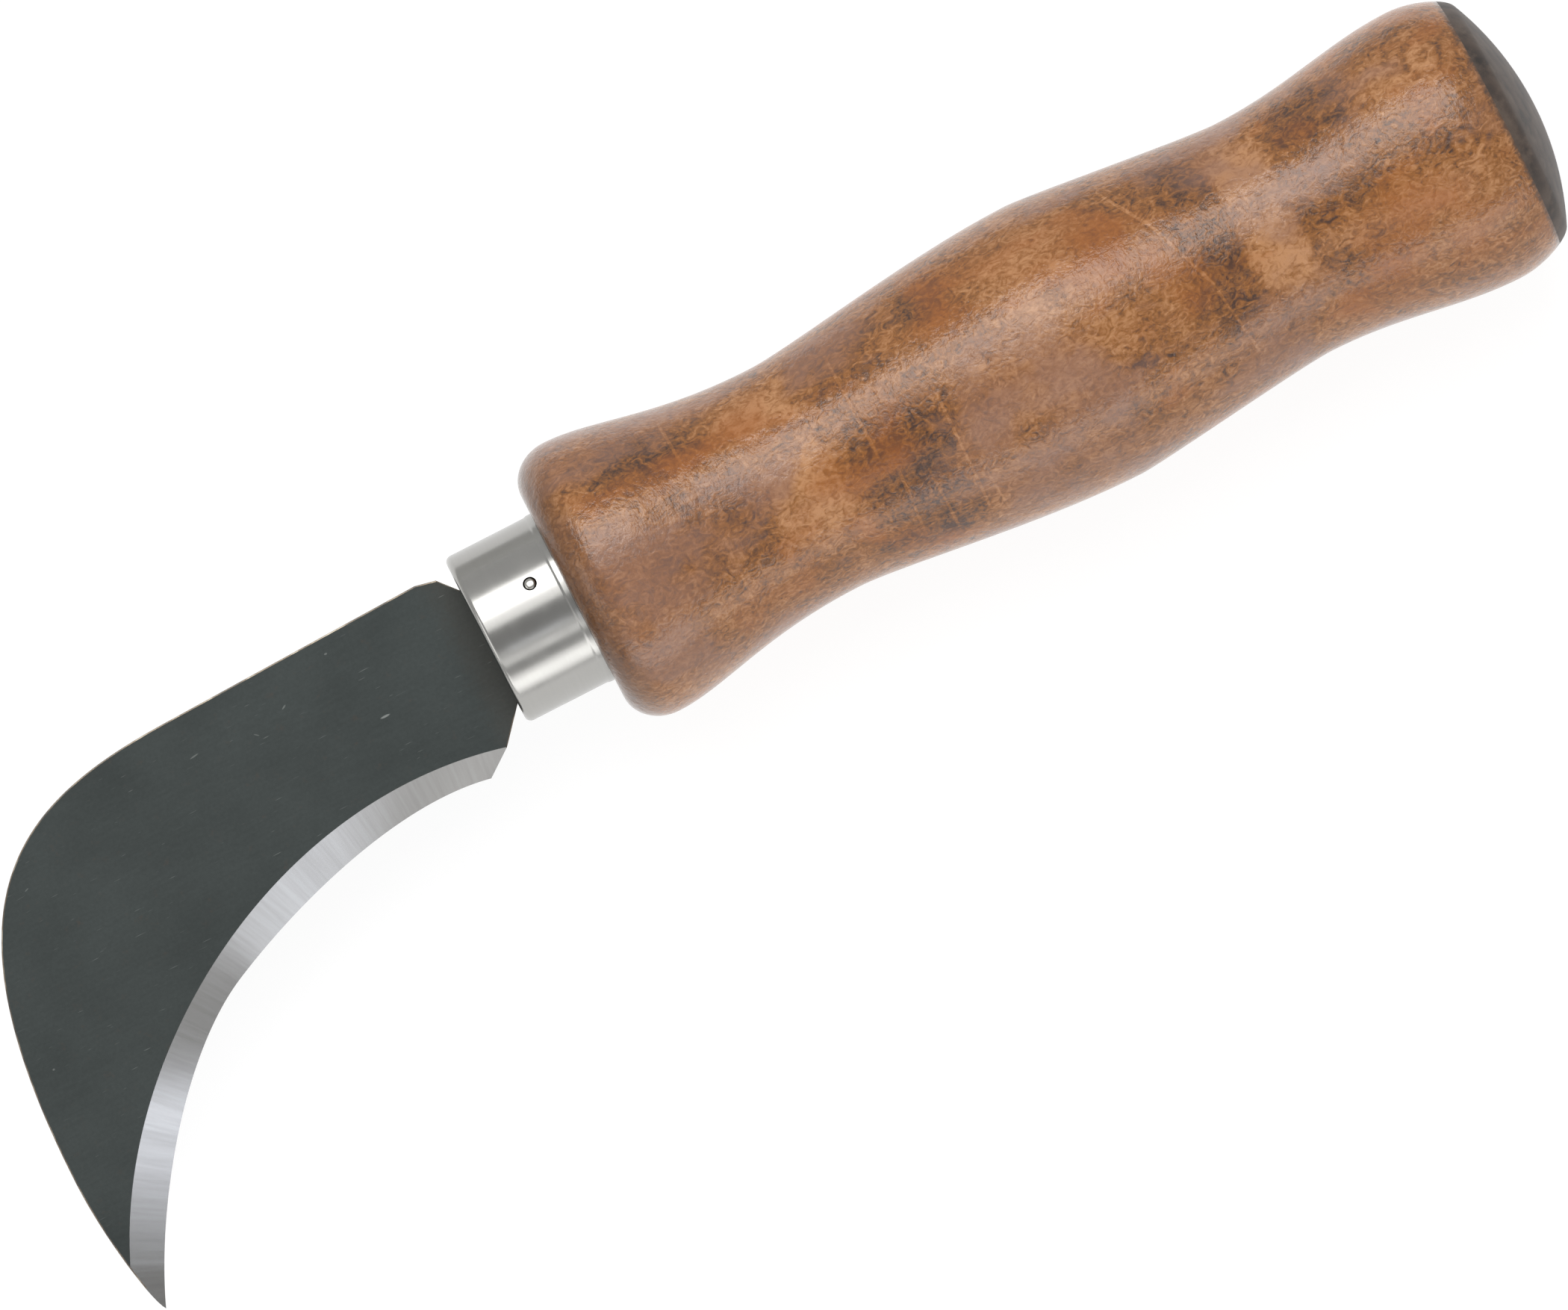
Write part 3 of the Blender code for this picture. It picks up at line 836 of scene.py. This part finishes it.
class KNIFE_OT_blade(bpy.types.Operator):
    """Model the blade and its tang in one piece, with a ground bevel on both sides"""

    bl_idname = "knife.blade"
    bl_label = "Blade and Tang"
    bl_options = {"REGISTER", "UNDO"}

    def execute(self, context):
        settings = context.scene.knife.blade
        steel = steel_finish(settings)
        grind = ground_finish(settings)
        rubbed_and_highlight = rubbed_and_highlight_finish()

        flat = bridge(
            draw_run(list(zip(BACK_SPANS, BACK_STEPS))),
            draw_run([(GRIND_SPAN, GRIND_STEPS)]),
            steel,
        )
        bevel = bridge(
            draw_run([(GRIND_SPAN, GRIND_STEPS), (POINT_SPAN, POINT_STEPS)]),
            draw_run([(span, EDGE_STEPS) for span in EDGE_SPANS]),
            grind,
        )
        blade = weld(join(flat, bevel))
        blade.data.materials.append(rubbed_and_highlight)

        bpy.ops.object.mode_set(mode="EDIT")
        heel = [point_mm(BACK_SPANS[0][0]), point_mm(GRIND_SPAN[0])]

        def at_heel(vert):
            return min((vert.co - corner).length for corner in heel) < WELD

        choose(blade, "EDGE", lambda edge: all(at_heel(vert) for vert in edge.verts))
        here = HEEL_SECTION
        for there in TANG_SECTIONS:
            extrude_section(here, there)
            here = there
        bpy.ops.mesh.select_all(action="DESELECT")
        bpy.ops.mesh.select_mode(type="EDGE")
        bpy.ops.mesh.select_non_manifold(
            use_wire=False,
            use_boundary=True,
            use_multi_face=False,
            use_non_contiguous=False,
            use_verts=False,
        )
        bpy.ops.mesh.extrude_edges_move()
        bpy.ops.transform.resize(value=(1, 1, 0), center_override=(0, 0, 0))

        def is_corner(edge):
            if len(edge.link_faces) != 2 or min(vert.co.z for vert in edge.verts) < CORNER_HEIGHT:
                return False
            return edge.calc_face_angle() > CORNER_ANGLE

        # The softened corners get the worn finish, whose lighter colour is also a painted highlight.
        choose(blade, "EDGE", is_corner)
        bpy.ops.mesh.bevel(offset=settings.edge_break, segments=2, profile=0.5, material=RUBBED_AND_HIGHLIGHT_SLOT)
        bpy.ops.object.mode_set(mode="OBJECT")

        bpy.ops.object.modifier_add(type="MIRROR")
        mirror = blade.modifiers[-1]
        mirror.use_axis = (False, False, True)
        mirror.merge_threshold = WELD
        bpy.ops.object.modifier_apply(modifier=mirror.name)
        mend(blade)
        finish_piece(blade, "hooked_blade", "blade", crease=7)
        return {"FINISHED"}


def lean_on_brad_line(obj):
    """Stands a piece that was made along z on the brad's line through the ferrule."""
    obj.rotation_euler = (BRAD_LEAN, 0.0, 0.0)
    obj.location = (BRAD_PLACE * MM, 0.0, 0.0)
    pick_only(obj)
    bpy.ops.object.transform_apply(location=True, rotation=True, scale=True)


def brad_hole(radius):
    """A cutter on the brad's line, from just under its foot to above the ferrule."""
    depth = HOLE_DEPTH * MM
    foot = (BRAD_FOOT - HOLE_BELOW) * MM
    bpy.ops.object.select_all(action="DESELECT")
    bpy.ops.mesh.primitive_cylinder_add(
        vertices=40, radius=radius * MM, depth=depth, location=(0, 0, foot + depth / 2)
    )
    cutter = bpy.context.object
    bpy.ops.object.transform_apply(location=True, rotation=True, scale=True)
    lean_on_brad_line(cutter)
    return cutter


def mortise_cutter():
    """The flat tapering hole that the tang was driven into, from its bottom to the spigot's face."""
    bottom = MORTISE_SECTIONS[0]
    bpy.ops.object.select_all(action="DESELECT")
    bpy.ops.mesh.primitive_plane_add(
        size=1.0, rotation=(0, math.pi / 2, 0), location=point_mm((bottom[0], 0, 0))
    )
    cutter = bpy.context.object
    cutter.scale = (2 * bottom[3] * MM, (bottom[2] - bottom[1]) * MM, 1.0)
    bpy.ops.object.transform_apply(location=True, rotation=True, scale=True)
    bpy.ops.object.mode_set(mode="EDIT")
    bpy.ops.mesh.select_all(action="SELECT")
    here = bottom
    for there in MORTISE_SECTIONS[1:]:
        extrude_section(here, there)
        here = there
    bpy.ops.mesh.select_all(action="SELECT")
    bpy.ops.mesh.normals_make_consistent(inside=False)
    bpy.ops.object.mode_set(mode="OBJECT")
    return cutter


class KNIFE_OT_handle(bpy.types.Operator):
    """Turn the handle with its spigot, and cut the tang's mortise and the brad's hole"""

    bl_idname = "knife.handle"
    bl_label = "Handle"
    bl_options = {"REGISTER", "UNDO"}

    def execute(self, context):
        settings = context.scene.knife.handle
        handle = draw_run(HANDLE_SPANS)
        handle.data.materials.append(wood_finish(settings))
        handle.data.materials.append(end_grain_finish(settings))
        turn_profile(handle, HANDLE_SPANS[0][0][0], SPIGOT_POINTS, settings.sides)
        bpy.ops.object.mode_set(mode="EDIT")
        choose(handle, "FACE", lambda face: face.calc_center_median().x < END_GRAIN_FROM)
        handle.active_material_index = END_GRAIN_SLOT
        bpy.ops.object.material_slot_assign()
        bpy.ops.object.mode_set(mode="OBJECT")
        cut_away(handle, mortise_cutter())
        cut_away(handle, brad_hole(HOLE_IN_WOOD))
        finish_piece(handle, "turned_handle", "handle", crease=40)
        return {"FINISHED"}


class KNIFE_OT_ferrule(bpy.types.Operator):
    """Turn the drawn ferrule and pierce it for the blade's neck and the brad"""

    bl_idname = "knife.ferrule"
    bl_label = "Ferrule"
    bl_options = {"REGISTER", "UNDO"}

    def execute(self, context):
        settings = context.scene.knife.ferrule
        ferrule = draw_run(FERRULE_SPANS)
        finish = plate_finish("bright nickel plate on drawn steel", settings.plate_colour, 0.17, 0.24)
        ferrule.data.materials.append(finish)
        pick_only(ferrule)
        bpy.ops.object.mode_set(mode="EDIT")
        lip = point_mm(FERRULE_SPANS[0][0][0])
        choose(ferrule, "VERT", lambda vert: (vert.co - lip).length < WELD)
        bpy.ops.mesh.extrude_region_move(TRANSFORM_OT_translate={"value": (0, 0, -lip.z)})
        bpy.ops.object.mode_set(mode="OBJECT")
        turn_profile(ferrule, FERRULE_SPANS[-1][0][-1], FERRULE_INSIDE, settings.sides)

        bpy.ops.object.select_all(action="DESELECT")
        bpy.ops.mesh.primitive_cube_add(size=1.0, location=point_mm(SLOT_MIDDLE), scale=point_mm(SLOT_SIZE))
        slot = bpy.context.object
        bpy.ops.object.transform_apply(location=True, rotation=True, scale=True)
        cut_away(ferrule, slot)
        cut_away(ferrule, brad_hole(HOLE_IN_PLATE))
        finish_piece(ferrule, "bright_ferrule", "ferrule", crease=30)
        return {"FINISHED"}


class KNIFE_OT_brad(bpy.types.Operator):
    """Model the short pointed brad that holds the ferrule on the wood"""

    bl_idname = "knife.brad"
    bl_label = "Brad"
    bl_options = {"REGISTER", "UNDO"}

    def execute(self, context):
        settings = context.scene.knife.ferrule
        top = FERRULE_RADIUS - BRAD_SINK * MM
        foot = BRAD_FOOT * MM
        bpy.ops.object.select_all(action="DESELECT")
        bpy.ops.mesh.primitive_cylinder_add(
            vertices=32, radius=BRAD_RADIUS * MM, depth=top - foot, location=(0, 0, (top + foot) / 2)
        )
        brad = bpy.context.object
        bpy.ops.object.transform_apply(location=True, rotation=True, scale=True)
        bpy.ops.object.mode_set(mode="EDIT")
        bpy.ops.mesh.select_all(action="SELECT")
        bpy.ops.mesh.bisect(plane_co=(0, 0, foot + BRAD_POINT * MM), plane_no=(0, 0, 1))
        choose(brad, "FACE", lambda face: face.normal.z < -0.9)
        bpy.ops.transform.resize(value=(BRAD_TIP, BRAD_TIP, 1.0), center_override=(0, 0, foot))
        choose(brad, "FACE", lambda face: face.normal.z > 0.9)
        for inset, rise in BRAD_CROWN:
            bpy.ops.mesh.inset(thickness=inset * MM)
            bpy.ops.transform.translate(value=(0, 0, rise * MM))
        bpy.ops.object.mode_set(mode="OBJECT")
        mend(brad)
        finish = plate_finish("drawn steel wire, bright", settings.brad_colour, 0.16, 0.24)
        brad.data.materials.append(finish)
        lean_on_brad_line(brad)
        finish_piece(brad, "ferrule_brad", "ferrule_pin", crease=50)
        return {"FINISHED"}


# ---------------------------------------------------------------- the stage

# The floor, the card and the panels are sized and placed in metres.
FLOOR_SIZE = 6.0
CARD_SIZE = (1.6, 1.0, 1.0)
CARD_MIDDLE = -0.564
CARD_LIFT = 0.001
ROOM_RISE = {"From Min": 0.45, "From Max": 0.95}  # z of a direction where wall turns into ceiling

PANEL_REACH = 1.0  # from the knife to each soft panel
SPINE_SIDE, HOOK_SIDE, BLADE_END = -90, 90, 0  # ways to lean, in degrees from +x towards +y
WHITE, COOL = (1.0, 1.0, 1.0), (0.95, 1.0, 1.12)
# The panels after the key, each with the arguments that soft_panel takes.
PANELS = (
    ("key_core", 38, SPINE_SIDE, 0.48, 0.90, 2.7, -0.03, WHITE),
    ("fill_panel", 31, HOOK_SIDE, 0.36, 1.1, 0.46, 0.455, WHITE),
    ("fill_end", 31, HOOK_SIDE, 0.30, 0.5, 0.45, 0.41, WHITE),
    ("fill_low", 35.5, HOOK_SIDE, 0.17, 0.9, 0.55, 0.35, WHITE),
    ("fill_faint", 22, HOOK_SIDE, 0.26, 0.30, 0.16, -0.20, WHITE),
    ("side_panel", 70.5, HOOK_SIDE, 0.50, 1.7, 1.05, 0.0, WHITE),
    ("side_core", 71, HOOK_SIDE, 0.27, 1.7, 0.85, 0.0, WHITE),
    ("end_panel", 60, BLADE_END, 0.35, 0.9, 1.3, 0.0, WHITE),
    ("bevel_strip", 21.7, HOOK_SIDE, 0.13, 0.095, 1.1, -0.05, COOL),
    ("point_strip", 16.2, HOOK_SIDE, 0.066, 0.11, 2.3, -0.20, COOL),
)

CAMERA_TARGET = (2.55, -0.05)  # x and y in millimetres, at the height of the handle's centre line
CAMERA_RIGHT = (-0.8900, 0.4559, 0.0)
SENSOR_WIDTH = 36.0
SEEN_WIDTH = 165.88 * MM


def soft_panel(name, lean, azimuth, width, length, radiance, shift, tint):
    """A soft panel that faces the knife.

    lean is its angle from straight above and azimuth the way it leans, in degrees. length runs
    square to the lean. shift moves it along +x, and tint is the colour of its light.
    """
    lean, azimuth = math.radians(lean), math.radians(azimuth)
    out = math.sin(lean)
    towards = Vector((out * math.cos(azimuth), out * math.sin(azimuth), math.cos(lean)))
    bpy.ops.object.select_all(action="DESELECT")
    bpy.ops.object.light_add(type="AREA")
    panel = bpy.context.object
    panel.name = name
    side = Vector((-math.sin(azimuth), math.cos(azimuth), 0.0))
    turn = Matrix((side, towards.cross(side), towards)).transposed().to_4x4()
    panel.matrix_world = Matrix.Translation(Vector((shift, 0, SHOULDER.z)) + towards * PANEL_REACH) @ turn
    light = panel.data
    light.shape = "RECTANGLE"
    light.size = length
    light.size_y = width
    light.energy = radiance * math.pi * width * length
    light.color = tint
    panel.visible_camera = False


class KNIFE_OT_stage(bpy.types.Operator):
    """Lay the pale floor, hang the soft panels and set the camera"""

    bl_idname = "knife.stage"
    bl_label = "Stage"
    bl_options = {"REGISTER", "UNDO"}

    def execute(self, context):
        settings = context.scene.knife.stage
        bpy.ops.object.select_all(action="DESELECT")
        bpy.ops.mesh.primitive_plane_add(size=FLOOR_SIZE, location=(0, 0, CAD_BOX[0].z))
        floor = context.object
        bpy.ops.object.transform_apply(location=True, rotation=True, scale=True)
        floor.name = "acrylic_floor"
        floor.data.materials.append(floor_finish(settings.floor_glow))

        soft_panel("key_panel", 31, SPINE_SIDE, 0.80, 0.95, settings.key_radiance, -0.03, WHITE)
        for panel in PANELS:
            soft_panel(*panel)

        # A grey card on the spine's side ends the bright floor there, in what the metal reflects.
        card_place = (0.0, CARD_MIDDLE, CAD_BOX[0].z + CARD_LIFT)
        bpy.ops.mesh.primitive_plane_add(size=1.0, location=card_place, scale=CARD_SIZE)
        card = context.object
        bpy.ops.object.transform_apply(location=True, rotation=True, scale=True)
        card.name = "grey_card"
        card.data.materials.append(card_finish())
        card.visible_camera = False
        card.visible_shadow = False

        world = bpy.data.worlds.new("studio room")
        world.use_nodes = True
        tree = world.node_tree
        direction = add(tree, "TexCoord").outputs["Generated"]
        rise = add(tree, "SeparateXYZ", {0: direction}).outputs["Z"]
        span = {**ROOM_RISE, "To Min": settings.room_side, "To Max": settings.room_top}
        room = add(tree, "MapRange", {"Value": rise, **span})
        tree.links.new(room.outputs[0], tree.nodes["Background"].inputs["Strength"])
        tree.nodes["Background"].inputs["Color"].default_value = (1.0, 1.0, 1.0, 1.0)
        context.scene.world = world
        context.scene.view_settings.view_transform = "Standard"

        target = Vector((*CAMERA_TARGET, SHOULDER.z * PER_METRE)) * MM
        right = Vector(CAMERA_RIGHT)
        towards = Vector((math.sin(settings.camera_tilt), 0.0, math.cos(settings.camera_tilt)))
        right = (right - towards * right.dot(towards)).normalized()
        bpy.ops.object.camera_add()
        camera = context.object
        camera.name = "studio_camera"
        camera.data.lens = settings.lens
        camera.data.sensor_width = SENSOR_WIDTH
        distance = SEEN_WIDTH * settings.lens / SENSOR_WIDTH
        turn = Matrix((right, towards.cross(right), towards)).transposed().to_4x4()
        camera.matrix_world = Matrix.Translation(target + towards * distance) @ turn
        context.scene.camera = camera
        bpy.ops.object.select_all(action="DESELECT")
        return {"FINISHED"}


class KNIFE_PT_panel(bpy.types.Panel):
    """The knife's sizes, colours and steps, in the 3D view's sidebar"""

    bl_idname = "KNIFE_PT_panel"
    bl_label = "Hook-bladed Knife"
    bl_space_type = "VIEW_3D"
    bl_region_type = "UI"
    bl_category = "Knife"

    def draw(self, context):
        knife = context.scene.knife
        for title, settings, operators in (
            ("Blade", knife.blade, ("knife.blade",)),
            ("Handle", knife.handle, ("knife.handle",)),
            ("Ferrule", knife.ferrule, ("knife.ferrule", "knife.brad")),
            ("Stage", knife.stage, ("knife.stage",)),
        ):
            box = self.layout.box()
            box.label(text=title)
            for name in settings.bl_rna.properties.keys():
                if name not in ("rna_type", "name"):
                    box.prop(settings, name)
            for operator in operators:
                box.operator(operator)


CLASSES = (
    BladeSettings,
    HandleSettings,
    FerruleSettings,
    StageSettings,
    KnifeSettings,
    KNIFE_OT_blade,
    KNIFE_OT_handle,
    KNIFE_OT_ferrule,
    KNIFE_OT_brad,
    KNIFE_OT_stage,
    KNIFE_PT_panel,
)


def register():
    for each in CLASSES:
        bpy.utils.register_class(each)
    bpy.types.Scene.knife = PointerProperty(type=KnifeSettings)


def unregister():
    del bpy.types.Scene.knife
    for each in reversed(CLASSES):
        bpy.utils.unregister_class(each)


def main():
    register()
    bpy.ops.knife.stage()
    bpy.ops.knife.blade()
    bpy.ops.knife.ferrule()
    bpy.ops.knife.brad()
    bpy.ops.knife.handle()


if __name__ == "__main__":
    main()
